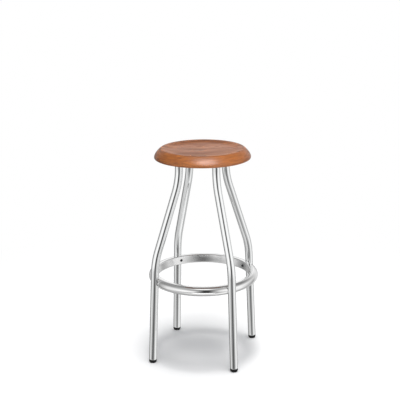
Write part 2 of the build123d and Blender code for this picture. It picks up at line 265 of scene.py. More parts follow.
@dataclass(frozen=True)
class LacqueredHardwood(Finish):
    """Beech boards glued edge to edge, turned, stained orange-brown and lacquered.

    The eye sees boards of slightly different tone, growth rings that run along each board,
    fine dark pores, and a soft gloss over all of it. Fibres and pores are drawn coarser than
    real ones, so that they show at the render's scale.

    A share is how much a pattern adds to the tone, and a span is the part of a pattern's
    range that counts.
    """

    light: str = "#844e23"
    dark: str = "#5f3213"
    tone_start: float = -1.3
    tone_span: Pair = (0.15, 0.95)
    board_mm: float = 58.0
    board_offset: float = 0.37
    board_scatter: Triple = (0.9, 0.11, 0.06)
    board_share: float = 0.28
    ring_mm: float = 7.0
    ring_wobble: float = 1.6
    ring_octaves: float = 2.0
    ring_wobble_scale: float = 0.16
    ring_share: float = 0.34
    ring_mean: float = 0.5
    pith: Triple = (0.0, 0.05, 0.62)
    trunk_lean: Triple = (0.0, 2.4, 1.6)
    streak: Grain = Grain(110.0, 12.0, 70.0, octaves=3.0)
    streak_share: float = 3.0
    line: Grain = Grain(90.0, 45.0, 4.0, octaves=2.0)
    line_contrast: float = 0.55
    # The base of the rim's faint lines also paints the rim a little lighter than the top: painted
    # light.
    line_base: float = 0.19
    level_from: float = 0.7
    fibre: Grain = Grain(30.0, 0.9, 0.9, octaves=2.0)
    fibre_share: float = 0.35
    pore: Grain = Grain(7.0, 0.7, 0.7, octaves=0.0)
    pore_colour: str = "#411f0c"
    pore_span: Pair = (0.62, 0.72)
    pore_strength: float = 0.55
    end_colour: str = "#5a2e11"
    end_from: float = 0.25
    end_strength: float = 0.55
    gloss_span: Pair = (0.32, 0.68)
    gloss_rough: Pair = (0.24, 0.5)
    relief_mm: float = 0.06
    relief_strength: float = 0.35
    relief_fibre: float = 0.4
    lacquer_ior: float = 1.47
    lacquer_specular: float = 0.4

    def dress(self, surface: Surface) -> None:
        """Links boards, growth rings, streaks, fibres and pores to the shader.

        Args:
            surface: The surface that gets the finish.
        """
        tree = surface.tree
        along = add_node(
            tree, "Mapping", {"Vector": surface.place, "Rotation": (0, 0, -PHOTO_BEARING)}
        )
        chance, cut = self.boards(tree, along.outputs["Vector"])
        rings = self.growth_rings(tree, cut)
        broad = self.streak.draw(tree, cut)
        lines = self.line.draw(tree, cut)
        fibres = self.fibre.draw(tree, cut)
        pores = self.pore.draw(tree, cut)

        # Rings and broad streaks show on the level top, and only faint lines on the rim. The faint
        # lines sit lighter on average than the broad streaks, which paints the rim a little lighter
        # than the top: painted light.
        facing = add_node(tree, "TexCoord").outputs["Normal"]
        upward = add_node(tree, "VectorMath", {0: facing, 1: (0, 0, 1)}, operation="DOT_PRODUCT")
        level = add_node(
            tree, "MapRange", {"Value": upward.outputs["Value"], "From Min": self.level_from}
        )
        faint = add_node(
            tree,
            "Math",
            {0: lines, 1: self.line_contrast, 2: self.line_base},
            operation="MULTIPLY_ADD",
        )
        streaks = add_node(
            tree, "Mix", {0: level.outputs[0], 2: faint.outputs[0], 3: broad}, data_type="FLOAT"
        )
        arcs = add_node(
            tree, "Mix", {0: level.outputs[0], 2: self.ring_mean, 3: rings}, data_type="FLOAT"
        )
        tone: float | Socket = self.tone_start
        for pattern, share in (
            (streaks.outputs[0], self.streak_share),
            (arcs.outputs[0], self.ring_share),
            (fibres, self.fibre_share),
            (chance, self.board_share),
        ):
            added = add_node(
                tree, "Math", {0: pattern, 1: share, 2: tone}, operation="MULTIPLY_ADD"
            )
            tone = added.outputs[0]
        wood = add_node(tree, "ValToRGB", {"Fac": tone})
        set_stops(wood, zip(self.tone_span, (linear(self.light), linear(self.dark))))

        # Stain soaks deeper into end grain, where the surface faces along the boards.
        grain_way = (cos(PHOTO_BEARING), sin(PHOTO_BEARING), 0)
        ending = add_node(tree, "VectorMath", {0: facing, 1: grain_way}, operation="DOT_PRODUCT")
        either_end = add_node(
            tree,
            "Math",
            {0: ending.outputs["Value"], 1: ending.outputs["Value"]},
            operation="MULTIPLY",
        )
        soak = add_node(
            tree,
            "MapRange",
            {
                "Value": either_end.outputs[0],
                "From Min": self.end_from,
                "To Max": self.end_strength,
            },
        )
        stained = add_node(
            tree,
            "Mix",
            {0: soak.outputs[0], 6: wood.outputs["Color"], 7: linear(self.end_colour)},
            data_type="RGBA",
        )
        dots = add_node(
            tree,
            "MapRange",
            {
                "Value": pores,
                "From Min": self.pore_span[0],
                "From Max": self.pore_span[1],
                "To Max": self.pore_strength,
            },
        )
        coloured = add_node(
            tree,
            "Mix",
            {0: dots.outputs[0], 6: stained.outputs[2], 7: linear(self.pore_colour)},
            data_type="RGBA",
        )
        surface.feed("Base Color", coloured.outputs[2])

        # Open grain leaves the lacquer duller along the darker streaks.
        sheen = add_node(
            tree,
            "MapRange",
            {
                "Value": streaks.outputs[0],
                "From Min": self.gloss_span[0],
                "From Max": self.gloss_span[1],
                "To Min": self.gloss_rough[0],
                "To Max": self.gloss_rough[1],
            },
        )
        surface.feed("Roughness", sheen.outputs[0])
        sunk = add_node(
            tree,
            "Math",
            {0: fibres, 1: self.relief_fibre, 2: dots.outputs[0]},
            operation="MULTIPLY_ADD",
        )
        tilt = add_node(
            tree,
            "Bump",
            {
                "Strength": self.relief_strength,
                "Distance": self.relief_mm * MM,
                "Height": sunk.outputs[0],
            },
            invert=True,
        )
        surface.feed("Normal", tilt.outputs["Normal"])
        surface.hold("IOR", self.lacquer_ior)
        surface.hold("Specular IOR Level", self.lacquer_specular)

    def boards(self, tree: Tree, along: Socket) -> tuple[Socket, Socket]:
        """Divides the wood into boards, each cut from its own place in the trunk.

        Args:
            tree: The material's node tree.
            along: Coordinates with x along the grain.

        Returns:
            Each board's random number from 0 to 1, and coordinates in the trunk.
        """
        axes = add_node(tree, "SeparateXYZ", {"Vector": along})
        across = add_node(
            tree,
            "Math",
            {0: axes.outputs["Y"], 1: 1 / (self.board_mm * MM), 2: self.board_offset},
            operation="MULTIPLY_ADD",
        )
        board = add_node(tree, "Math", {0: across.outputs[0]}, operation="FLOOR")
        chance = add_node(tree, "TexWhiteNoise", {"W": board.outputs[0]}, noise_dimensions="1D")
        shift = add_node(
            tree,
            "VectorMath",
            {0: chance.outputs["Color"], 1: self.board_scatter},
            operation="MULTIPLY",
        )
        cut = add_node(tree, "VectorMath", {0: along, 1: shift.outputs["Vector"]}, operation="ADD")
        return chance.outputs["Value"], cut.outputs["Vector"]

    def growth_rings(self, tree: Tree, cut: Socket) -> Socket:
        """Draws growth rings about a pith far below the seat, which leans a little.

        Args:
            tree: The material's node tree.
            cut: Coordinates in the trunk, with x along the grain.

        Returns:
            The rings' tone, from 0 to 1.
        """
        trunk = add_node(
            tree, "Mapping", {"Vector": cut, "Location": tuple(-place for place in self.pith)}
        )
        lean = add_node(
            tree,
            "Mapping",
            {
                "Vector": trunk.outputs["Vector"],
                "Rotation": tuple(radians(angle) for angle in self.trunk_lean),
            },
        )
        # A wave of scale 1 repeats after pi / 10.
        rings = add_node(
            tree,
            "TexWave",
            {
                "Vector": lean.outputs["Vector"],
                "Scale": pi / 10 / (self.ring_mm * MM),
                "Distortion": self.ring_wobble,
                "Detail": self.ring_octaves,
                "Detail Scale": self.ring_wobble_scale,
            },
            wave_type="RINGS",
            rings_direction="X",
            wave_profile="SAW",
        )
        return rings.outputs["Fac"]


@dataclass(frozen=True)
class BrightChrome(Finish):
    """Chrome plate on polished steel tube.

    A clear mirror. Faint wipe marks dull it in patches, and the polish under the plate
    leaves a ripple that is only seen where a reflection has a hard edge.
    """

    colour: str = "#eaebeb"
    clear: float = 0.07
    wiped: float = 0.12
    smear_mm: float = 45.0
    smear_octaves: float = 4.0
    smear_span: Pair = (0.4, 0.7)
    ripple: Relief = Relief(size_mm=14.0, height_mm=0.006, strength=0.5, octaves=1.0)

    def dress(self, surface: Surface) -> None:
        """Links wipe marks and polishing ripple to the shader.

        Args:
            surface: The surface that gets the finish.
        """
        surface.hold("Metallic", 1.0)
        surface.hold("Base Color", linear(self.colour))
        smears = add_node(
            surface.tree,
            "TexNoise",
            {
                "Vector": surface.place,
                "Scale": 1 / (self.smear_mm * MM),
                "Detail": self.smear_octaves,
            },
        )
        dull = add_node(
            surface.tree,
            "MapRange",
            {
                "Value": smears.outputs["Fac"],
                "From Min": self.smear_span[0],
                "From Max": self.smear_span[1],
                "To Min": self.clear,
                "To Max": self.wiped,
            },
        )
        surface.feed("Roughness", dull.outputs[0])
        self.ripple.emboss(surface)


@dataclass(frozen=True)
class HoopChrome(BrightChrome):
    """Chrome plate on the hoop's D-shaped tube.

    The round outside is polished clear. The flat inner face is only ground before plating, so
    that it mirrors the room as soft bands.
    """

    face_radius_mm: float = 166.5
    face_edge_mm: float = 2.0
    ground: float = 0.24

    def dress(self, surface: Surface) -> None:
        """Dulls the chrome where it is as near to the hoop's axis as the inner face.

        Args:
            surface: The surface that gets the finish.
        """
        super().dress(surface)
        tree = surface.tree
        polished = surface.shader.inputs["Roughness"].links[0].from_socket
        across = add_node(tree, "VectorMath", {0: surface.place, 1: (1, 1, 0)}, operation="MULTIPLY")
        radius = add_node(tree, "VectorMath", {0: across.outputs["Vector"]}, operation="LENGTH")
        face = add_node(
            tree,
            "MapRange",
            {
                "Value": radius.outputs["Value"],
                "From Min": self.face_radius_mm * MM,
                "From Max": (self.face_radius_mm + self.face_edge_mm) * MM,
                "To Min": self.ground,
                "To Max": 0.0,
            },
        )
        dull = add_node(tree, "Math", {0: polished, 1: face.outputs[0]}, operation="MAXIMUM")
        surface.feed("Roughness", dull.outputs[0])


@dataclass(frozen=True)
class MottledSkin(Finish):
    """A skin whose tone and gloss change in patches, over a fine relief."""

    colour: str
    patch: str
    rough: float
    patch_rough: float
    patch_mm: float
    patch_octaves: float
    patch_span: Pair
    relief: Relief

    def dress(self, surface: Surface) -> None:
        """Links the patches and the relief to the shader.

        Args:
            surface: The surface that gets the finish.
        """
        patches = add_node(
            surface.tree,
            "TexNoise",
            {
                "Vector": surface.place,
                "Scale": 1 / (self.patch_mm * MM),
                "Detail": self.patch_octaves,
            },
        )
        tint = add_node(surface.tree, "ValToRGB", {"Fac": patches.outputs["Fac"]})
        set_stops(tint, zip(self.patch_span, (linear(self.colour), linear(self.patch))))
        surface.feed("Base Color", tint.outputs["Color"])
        dull = add_node(
            surface.tree,
            "MapRange",
            {"Value": patches.outputs["Fac"], "To Min": self.rough, "To Max": self.patch_rough},
        )
        surface.feed("Roughness", dull.outputs[0])
        self.relief.emboss(surface)


@dataclass(frozen=True)
class PlatedSteel(MottledSkin):
    """Steel with a thin plated or oxidised skin, as on bolts, nuts and pressed plates.

    The skin clouds over in patches and shows fine marks from rolling or cutting.
    """

    colour: str = "#b9bcc0"
    patch: str = "#8f9398"
    rough: float = 0.24
    patch_rough: float = 0.42
    patch_mm: float = 6.0
    patch_octaves: float = 5.0
    patch_span: Pair = (0.35, 0.75)
    relief: Relief = Relief(size_mm=0.5, height_mm=0.02, strength=0.25, octaves=2.0)

    def dress(self, surface: Surface) -> None:
        """Makes the skin a metal's."""
        super().dress(surface)
        surface.hold("Metallic", 1.0)


@dataclass(frozen=True)
class MouldedNylon(MottledSkin):
    """Injection-moulded nylon with a fine spark-eroded texture.

    The texture breaks up the gloss, and rubbing leaves smoother patches of another tone.
    """

    colour: str = "#070708"
    patch: str = "#121213"
    rough: float = 0.72
    patch_rough: float = 0.48
    patch_mm: float = 9.0
    patch_octaves: float = 4.0
    patch_span: Pair = (0.45, 0.75)
    relief: Relief = Relief(size_mm=0.35, height_mm=0.04, strength=0.4, octaves=1.0)
    ior: float = 1.53
    specular: float = 0.3

    def dress(self, surface: Surface) -> None:
        """Gives the skin a nylon's gloss.

        Args:
            surface: The surface that gets the finish.
        """
        super().dress(surface)
        surface.hold("IOR", self.ior)
        surface.hold("Specular IOR Level", self.specular)


WOOD = LacqueredHardwood("lacquered_hardwood")
LEG_CHROME = BrightChrome("chromed_leg_tube")
RING_CHROME = HoopChrome("chromed_ring_tube", colour="#e6e6e6", wiped=0.11)
BLACK_NYLON = MouldedNylon("black_moulded_nylon")
NATURAL_NYLON = MouldedNylon("natural_nylon", "#dcd6c2", "#cfc8b0", rough=0.57, patch_rough=0.33)
CAGE_NYLON = MouldedNylon("cage_nylon", "#cfc4a4", "#c0b48f", rough=0.6, patch_rough=0.36)
ZINC = PlatedSteel("zinc_plated_fastener")
PRESSED_PLATE = PlatedSteel("zinc_plated_sheet", "#b1b5ba", "#888d94", patch_mm=14.0)
BLACK_OXIDE = PlatedSteel("black_oxide_screw", "#4a4a4d", "#303032", patch_rough=0.4)
BALL_STEEL = PlatedSteel("ground_bearing_steel", "#c9ccd0", "#b9bcc1", rough=0.08, patch_rough=0.16)
BRONZE = PlatedSteel("oiled_bronze", "#a77a45", "#7c5830", rough=0.26, patch_rough=0.44)


def arc(centre: Pair, radius: float, start: float, end: float, steps: int) -> list[Vector]:
    """Works out points on an arc in a half section, where x is outwards and z is up.

    Args:
        centre: The arc's centre, outwards and up.
        radius: Its radius.
        start: The first point's angle in degrees, from outwards towards up.
        end: The last point's angle in degrees.
        steps: How many spans it has.

    Returns:
        The points, with both ends.
    """
    angles = [radians(start + (end - start) * step / steps) for step in range(steps + 1)]
    return [Vector((centre[0] + radius * cos(a), 0, centre[1] + radius * sin(a))) for a in angles]


def flow(knots: Sequence[Pair], steps: int) -> list[Vector]:
    """Works out points on a cubic Bezier curve in a half section.

    Args:
        knots: Its start, two handles and end, each outwards and up.
        steps: How many spans it has.

    Returns:
        The points, with both ends.
    """
    start, first, second, end = (Vector((x, 0, z)) for x, z in knots)
    return interpolate_bezier(start, first, second, end, steps + 1)


def lathe(section: Sequence[Vector], steps: int, ring: bool = False) -> Mesh:
    """Spins a half section about the Z axis.

    Args:
        section: The section's points in order, in the XZ plane.
        steps: How many spans go round.
        ring: Whether the last point joins the first, as round a hoop.

    Returns:
        A closed skin with its faces outwards.
    """
    bm = bmesh.new()
    points = [bm.verts.new(point) for point in section]
    pairs = list(zip(points, points[1:]))
    if ring:
        pairs.append((points[-1], points[0]))
    edges = [bm.edges.new(pair) for pair in pairs]
    bmesh.ops.spin(
        bm,
        geom=points + edges,
        cent=(0, 0, 0),
        axis=(0, 0, 1),
        angle=FULL_TURN,
        steps=steps,
        use_merge=True,
    )
    bmesh.ops.remove_doubles(bm, verts=bm.verts, dist=MERGE_DISTANCE)
    bmesh.ops.recalc_face_normals(bm, faces=bm.faces)
    return bm


def soften(bm: Mesh, width: float) -> None:
    """Rounds every sharp corner.

    Args:
        bm: The mesh.
        width: How far back the rounding reaches.
    """
    corners = [
        edge for edge in bm.edges if edge.is_manifold and edge.calc_face_angle(0) > CORNER_ANGLE
    ]
    bmesh.ops.bevel(
        bm,
        geom=corners,
        offset=width,
        offset_type="OFFSET",
        affect="EDGES",
        segments=CORNER_SEGMENTS,
        profile=0.5,
        material=-1,
        clamp_overlap=True,
    )


def make_piece(bm: Mesh, name: str) -> Piece:
    """Turns a mesh into an object at the origin, smooth but for its sharp corners.

    Args:
        bm: The mesh, which is freed.
        name: The piece's name.

    Returns:
        The object.
    """
    mesh = bpy.data.meshes.new(name)
    bm.to_mesh(mesh)
    bm.free()
    mesh.shade_smooth()
    mesh.set_sharp_from_angle(angle=SHARP_ANGLE)
    piece = bpy.data.objects.new(name, mesh)
    bpy.context.scene.collection.objects.link(piece)
    return piece


def cut_out(piece: Piece, cutter: Piece) -> None:
    """Cuts one shape out of a piece and removes the cutter.

    Args:
        piece: The object that is cut.
        cutter: The object that is taken away from it.
    """
    cut = piece.modifiers.new("cut", "BOOLEAN")
    cut.operation = "DIFFERENCE"
    cut.solver = "EXACT"
    cut.object = cutter
    graph = bpy.context.evaluated_depsgraph_get()
    whole = piece.data
    piece.data = bpy.data.meshes.new_from_object(piece.evaluated_get(graph))
    piece.modifiers.clear()
    bpy.data.meshes.remove(whole)
    bpy.data.meshes.remove(cutter.data)
    piece.data.name = piece.name
    piece.data.shade_smooth()
    piece.data.set_sharp_from_angle(angle=SHARP_ANGLE)


def paint(piece: Piece, finish: Finish) -> None:
    """Gives a piece or a CAD node one finish all over."""
    piece.data.materials.clear()
    piece.data.materials.append(finish.material())


def settle(piece: Piece, body: str, slot: str, *nodes: str) -> Piece:
    """Lets a piece ride on a CAD body and stand for CAD nodes.

    Args:
        piece: The piece, in place.
        body: The body that it moves with.
        slot: Not used.
        *nodes: The CAD nodes that it stands for.

    Returns:
        The piece.
    """
    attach(piece, body)
    if nodes:
        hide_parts(*nodes)
    return piece


@dataclass
class Seat:
    """Turned disc with a dished top, a rounded rim and a recess for the swivel."""

    crest_radius: float = 0.143
    edge_radius: float = 0.0045
    side_fullness: float = 0.37
    crest_fullness: float = 0.22
    dish_floor_radius: float = 0.104
    dish_floor_drop: float = 0.0068
    dish_centre_drop: float = 0.009
    dish_slope: float = 1 / 30
    lip_reach: float = 0.012
    foot_reach: float = 0.018
    recess_radius: float = 0.090
    recess_depth: float = 0.006
    pocket_radius: float = 0.018
    pocket_depth: float = 0.0075
    corner_width: float = 0.0006
    edge_steps: int = 6
    shoulder_steps: int = 24
    slope_steps: int = 14
    dish_steps: int = 10
    turn_steps: int = 192

    def section(self) -> list[Vector]:
        """Works out the half section, from the pivot's pocket round the rim to the dish.

        Returns:
            The section's points.
        """
        low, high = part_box("seat")
        radius, crest, under = high.x, high.z, low.z
        recess = under + self.recess_depth
        pocket = recess + self.pocket_depth
        widest = under + self.edge_radius
        lip, rise = self.crest_radius, crest - widest
        floor = crest - self.dish_floor_drop
        middle = crest - self.dish_centre_drop
        foot = self.dish_floor_radius
        below = [
            (0, pocket),
            (self.pocket_radius, pocket),
            (self.pocket_radius, recess),
            (self.recess_radius, recess),
            (self.recess_radius, under),
        ]
        edge = arc((radius - self.edge_radius, widest), self.edge_radius, -90, 0, self.edge_steps)
        shoulder = flow(
            (
                (radius, widest),
                (radius, widest + self.side_fullness * rise),
                (lip + self.crest_fullness * (radius - lip), crest),
                (lip, crest),
            ),
            self.shoulder_steps,
        )
        slope = flow(
            (
                (lip, crest),
                (lip - self.lip_reach, crest),
                (foot + self.foot_reach, floor + self.dish_slope * self.foot_reach),
                (foot, floor),
            ),
            self.slope_steps,
        )
        dish = flow(
            (
                (foot, floor),
                (foot * 2 / 3, floor - self.dish_slope * foot / 3),
                (foot / 3, middle),
                (0, middle),
            ),
            self.dish_steps,
        )
        return [Vector((x, 0, z)) for x, z in below] + edge + shoulder[1:] + slope[1:] + dish[1:]

    def build(self) -> list[Piece]:
        """Models the seat.

        Returns:
            The seat alone.
        """
        bm = lathe(self.section(), self.turn_steps)
        soften(bm, self.corner_width)
        return [settle(make_piece(bm, "turned_seat"), "seat", "turned_wood", "seat")]

    def dress(self, pieces: list[Piece]) -> None:
        """Lacquers the seat."""
        paint(pieces[0], WOOD)


@dataclass(frozen=True)
class LegLine:
    """Centre line of a leg in its upright plane: x away from the swivel axis, z up."""

    top_radius: float = 0.0935
    upper_bend_z: float = 0.654
    lower_bend_radius: float = 0.1925
    lower_bend_z: float = 0.376
    foot_radius: float = 0.2108
    bend_radius: float = 0.260
    tube_radius: float = 0.014

    @property
    def tilt(self) -> float:
        """How far the lower run leans out from upright, in radians."""
        return atan2(self.foot_radius - self.lower_bend_radius, self.lower_bend_z)

    def along_foot(self, distance: float) -> Vector:
        """Finds the point on the lower run that is this far from the floor, along the run."""
        return Vector((self.foot_radius - distance * sin(self.tilt), 0, distance * cos(self.tilt)))


@dataclass
class Legs:
    """Four bent tubes and the weld beads that join them to the top plate."""

    line: LegLine = LegLine()
    wall: float = 0.0015
    tube_end: float = 0.0125
    end_round: float = 0.0003
    end_span: float = 0.0015
    sides: int = 96
    bend_steps: int = 20
    bead_reach: float = 0.0042
    bead_depth: float = 0.09
    bead_ripples: int = 46
    bead_steps: int = 6
    ripple_steps: int = 6

    def tube(self) -> Mesh:
        """Models one tube in its upright plane, by drawing a circle along straights and bends.

        A short span at either end keeps the shading of the long straights clear of the rounded
        ends.

        Returns:
            The tube's mesh.
        """
        line = self.line
        top = Vector((line.top_radius, 0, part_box("top_plate")[0].z))
        points = [
            top,
            Vector((line.top_radius, 0, line.upper_bend_z)),
            Vector((line.lower_bend_radius, 0, line.lower_bend_z)),
            line.along_foot(self.tube_end),
        ]
        bm = bmesh.new()
        bmesh.ops.create_circle(
            bm, segments=self.sides, radius=line.tube_radius, matrix=Matrix.Translation(top)
        )
        first = (points[1] - top).normalized() * self.end_span
        rim, here = self.draw_straight(bm, bm.edges[:], first), top + first
        for before, corner, after in zip(points, points[1:], points[2:]):
            arriving, leaving = (corner - before).normalized(), (after - corner).normalized()
            turn = arriving.angle(leaving)
            reach = line.bend_radius * tan(turn / 2)
            start, axis = corner - arriving * reach, arriving.cross(leaving).normalized()
            rim = self.draw_straight(bm, rim, start - here)
            bent = bmesh.ops.spin(
                bm,
                geom=rim,
                cent=start + axis.cross(arriving) * line.bend_radius,
                axis=axis,
                angle=turn,
                steps=self.bend_steps,
            )
            rim = [part for part in bent["geom_last"] if isinstance(part, bmesh.types.BMEdge)]
            here = corner + leaving * reach
        last = (points[-1] - here).normalized() * self.end_span
        rim = self.draw_straight(bm, rim, points[-1] - here - last)
        self.draw_straight(bm, rim, last)
        bmesh.ops.recalc_face_normals(bm, faces=bm.faces)
        bmesh.ops.solidify(bm, geom=bm.faces[:], thickness=self.wall)
        soften(bm, self.end_round)
        return bm

    @staticmethod
    def draw_straight(
        bm: Mesh, rim: list[bmesh.types.BMEdge], step: Vector
    ) -> list[bmesh.types.BMEdge]:
        """Draws a tube on in a straight line.

        Args:
            bm: The tube's mesh.
            rim: Its open end.
            step: How far and which way it goes.

        Returns:
            The new open end.
        """
        drawn = bmesh.ops.extrude_edge_only(bm, edges=rim)["geom"]
        ends = [part for part in drawn if isinstance(part, bmesh.types.BMVert)]
        bmesh.ops.translate(bm, verts=ends, vec=step)
        return [
            part
            for part in drawn
            if isinstance(part, bmesh.types.BMEdge) and all(v in ends for v in part.verts)
        ]

    def bead(self) -> Mesh:
        """Models one weld bead in the leg's plane, with the ripple that the weld pool leaves.

        Returns:
            The bead's mesh.
        """
        radius, plate = self.line.tube_radius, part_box("top_plate")[0].z
        root = Vector((radius - self.wall / 2, 0, plate))
        face = arc((radius, plate), self.bead_reach, 0, -90, self.bead_steps)
        toe = Vector((root.x, 0, plate - self.bead_reach))
        bm = lathe([root, *face, toe], self.bead_ripples * self.ripple_steps, ring=True)
        for vert in bm.verts:
            out = Vector((vert.co.x, vert.co.y, 0))
            corner = out.normalized() * root.x + Vector((0, 0, plate))
            swell = 1 + self.bead_depth * cos(self.bead_ripples * atan2(out.y, out.x))
            vert.co = corner + (vert.co - corner) * swell
            vert.co.z = min(vert.co.z, plate)
        bmesh.ops.translate(bm, verts=bm.verts, vec=(self.line.top_radius, 0, 0))
        return bm

    def build(self) -> list[Piece]:
        """Models the legs and their weld beads.

        Returns:
            Each leg and its bead.
        """
        pieces = []
        for corner in Corner:
            tube, bead = self.tube(), self.bead()
            for bm in (tube, bead):
                bmesh.ops.transform(bm, matrix=corner.turn, verts=bm.verts)
            leg = make_piece(tube, f"bent_leg_{corner.label}")
            pieces.append(settle(leg, "frame", "leg_chrome", f"leg_{corner.label}"))
            weld = make_piece(bead, f"leg_weld_{corner.label}")
            pieces.append(settle(weld, "frame", "leg_chrome"))
        return pieces

    def dress(self, pieces: list[Piece]) -> None:
        """Chromes the legs and their welds."""
        for piece in pieces:
            paint(piece, LEG_CHROME)


@dataclass
class FootrestRing:
    """D-section hoop, flat inside and round outside, notched around the legs."""

    line: LegLine = LegLine()
    outer_radius: float = 0.1955
    depth: float = 0.029
    wall: float = 0.002
    inner_corner: float = 0.004
    notch_gap: float = 0.00005
    notch_length: float = 0.060
    spot_radius: float = 0.0057
    spot_depth: float = 0.0006
    hole_radius: float = 0.00315
    outside_steps: int = 32
    corner_steps: int = 6
    turn_steps: int = 240
    notch_sides: int = 128
    hole_sides: int = 48

    def section(self) -> list[Vector]:
        """Works out the hoop's section.

        Returns:
            The section's points.
        """
        low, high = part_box("footrest_ring")
        half, middle = (high.z - low.z) / 2, (high.z + low.z) / 2
        outer = self.outer_radius
        inner = outer - self.depth + self.inner_corner
        lift = half - self.inner_corner
        return [
            *arc((outer - half, middle), half, -90, 90, self.outside_steps),
            *arc((inner, middle + lift), self.inner_corner, 90, 180, self.corner_steps),
            *arc((inner, middle - lift), self.inner_corner, 180, 270, self.corner_steps),
        ]

    def build(self) -> list[Piece]:
        """Models the hoop, with its notches and the screws' spot faces and holes.

        Returns:
            The hoop alone.
        """
        bm = lathe(self.section(), self.turn_steps, ring=True)
        bmesh.ops.solidify(bm, geom=bm.faces[:], thickness=self.wall)
        ring = make_piece(bm, "footrest_hoop")
        cut_out(ring, self.leg_cutters())
        cut_out(ring, self.screw_cutters(self.spot_radius, self.spot_depth))
        cut_out(ring, self.screw_cutters(self.hole_radius, 2 * self.wall))
        return [settle(ring, "frame", "ring_chrome", "footrest_ring")]

    def leg_cutters(self) -> Piece:
        """Models the legs' outsides as one cutter.

        Returns:
            One object with all four.
        """
        tilt = self.line.tilt
        centre = self.line.along_foot(self.middle() / cos(tilt))
        radius = self.line.tube_radius + self.notch_gap
        return self.cutters(radius, self.notch_length, self.notch_sides, centre, -tilt)

    def screw_cutters(self, radius: float, depth: float) -> Piece:
        """Models drills from inside the hoop, one at each leg.

        Args:
            radius: The drills' radius.
            depth: How deep they go from the flat inner face.

        Returns:
            One object with all four.
        """
        centre = Vector((self.outer_radius - self.depth, 0, self.middle()))
        return self.cutters(radius, 2 * depth, self.hole_sides, centre, pi / 2)

    @staticmethod
    def middle() -> float:
        """Finds the height of the hoop's middle."""
        return sum(corner.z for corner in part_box("footrest_ring")) / 2

    @staticmethod
    def cutters(radius: float, length: float, sides: int, centre: Vector, lean: float) -> Piece:
        """Models a round bar at each leg.

        Args:
            radius: The bars' radius.
            length: Their length.
            sides: How many sides they have.
            centre: Where a bar's middle is, in the leg's upright plane.
            lean: How far it leans from upright in that plane, in radians.

        Returns:
            One object with all four.
        """
        bm = bmesh.new()
        place = Matrix.Translation(centre)
        for corner in Corner:
            bmesh.ops.create_cone(
                bm,
                cap_ends=True,
                segments=sides,
                radius1=radius,
                radius2=radius,
                depth=length,
                matrix=corner.turn @ place @ Matrix.Rotation(lean, 4, "Y"),
            )
        return make_piece(bm, "ring_cutters")

    def dress(self, pieces: list[Piece]) -> None:
        """Chromes the hoop."""
        paint(pieces[0], RING_CHROME)


@dataclass
class Feet:
    """Domed pads that snap onto the ball ends of the levelling studs."""

    height: float = 0.011
    base_radius: float = 0.0105
    radius: float = 0.0138
    belly_z: float = 0.0075
    shoulder: float = 0.0012
    ball_radius: float = 0.00506
    ball_z: float = 0.0063
    mouth_radius: float = 0.0042
    corner_width: float = 0.0003
    socket_steps: int = 14
    shoulder_steps: int = 5
    side_steps: int = 12
    turn_steps: int = 96

    def section(self) -> list[Vector]:
        """Works out a pad's half section, from the ball's socket round the outside to the base.

        Returns:
            The section's points.
        """
        opening = 90 - degrees(asin(self.mouth_radius / self.ball_radius))
        drop = self.radius - self.base_radius
        belly = (drop**2 + self.belly_z**2) / (2 * drop)
        sweep = degrees(asin(self.belly_z / belly))
        rim = (self.radius - self.shoulder, self.height - self.shoulder)
        return [
            *arc((0, self.ball_z), self.ball_radius, -90, opening, self.socket_steps),
            Vector((self.mouth_radius, 0, self.height)),
            *arc(rim, self.shoulder, 90, 0, self.shoulder_steps),
            *arc((self.radius - belly, self.belly_z), belly, 0, -sweep, self.side_steps),
            Vector((0, 0, 0)),
        ]

    def build(self) -> list[Piece]:
        """Models the pads.

        Returns:
            The four pads.
        """
        pieces = []
        for corner in Corner:
            node = f"foot_pad_{corner.label}"
            low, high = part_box(node)
            middle = (low + high) / 2
            bm = lathe(self.section(), self.turn_steps)
            soften(bm, self.corner_width)
            bmesh.ops.translate(bm, verts=bm.verts, vec=(middle.x, middle.y, low.z))
            pad = make_piece(bm, f"domed_pad_{corner.label}")
            pieces.append(settle(pad, f"pad_{corner.label}", "black_nylon", node))
        return pieces

    def dress(self, pieces: list[Piece]) -> None:
        """Gives the pads their moulded nylon."""
        for piece in pieces:
            paint(piece, BLACK_NYLON)


@dataclass
class Hardware:
    """Plates, bearing, pivot, screws and plugs, in the shapes that the CAD model gives them."""

    nodes: dict[str, Piece]

    def build(self) -> list[Piece]:
        """Returns the CAD nodes that stay visible."""
        return [node for node in self.nodes.values() if not node.hide_render]

    def dress(self, pieces: list[Piece]) -> None:
        """Gives each CAD node its finish, which is zinc for most.

        Args:
            pieces: The CAD nodes.
        """
        special = {
            "top_plate": LEG_CHROME,
            "swivel_upper_plate": PRESSED_PLATE,
            "swivel_lower_plate": PRESSED_PLATE,
            "pivot_bush": NATURAL_NYLON,
            "ball_cage": CAGE_NYLON,
            "bearing_balls": BALL_STEEL,
            "thrust_washer": BRONZE,
            "ring_screws": BLACK_OXIDE,
            "leg_end_inserts": BLACK_NYLON,
        }
        for node in pieces:
            paint(node, special.get(node.name, ZINC))


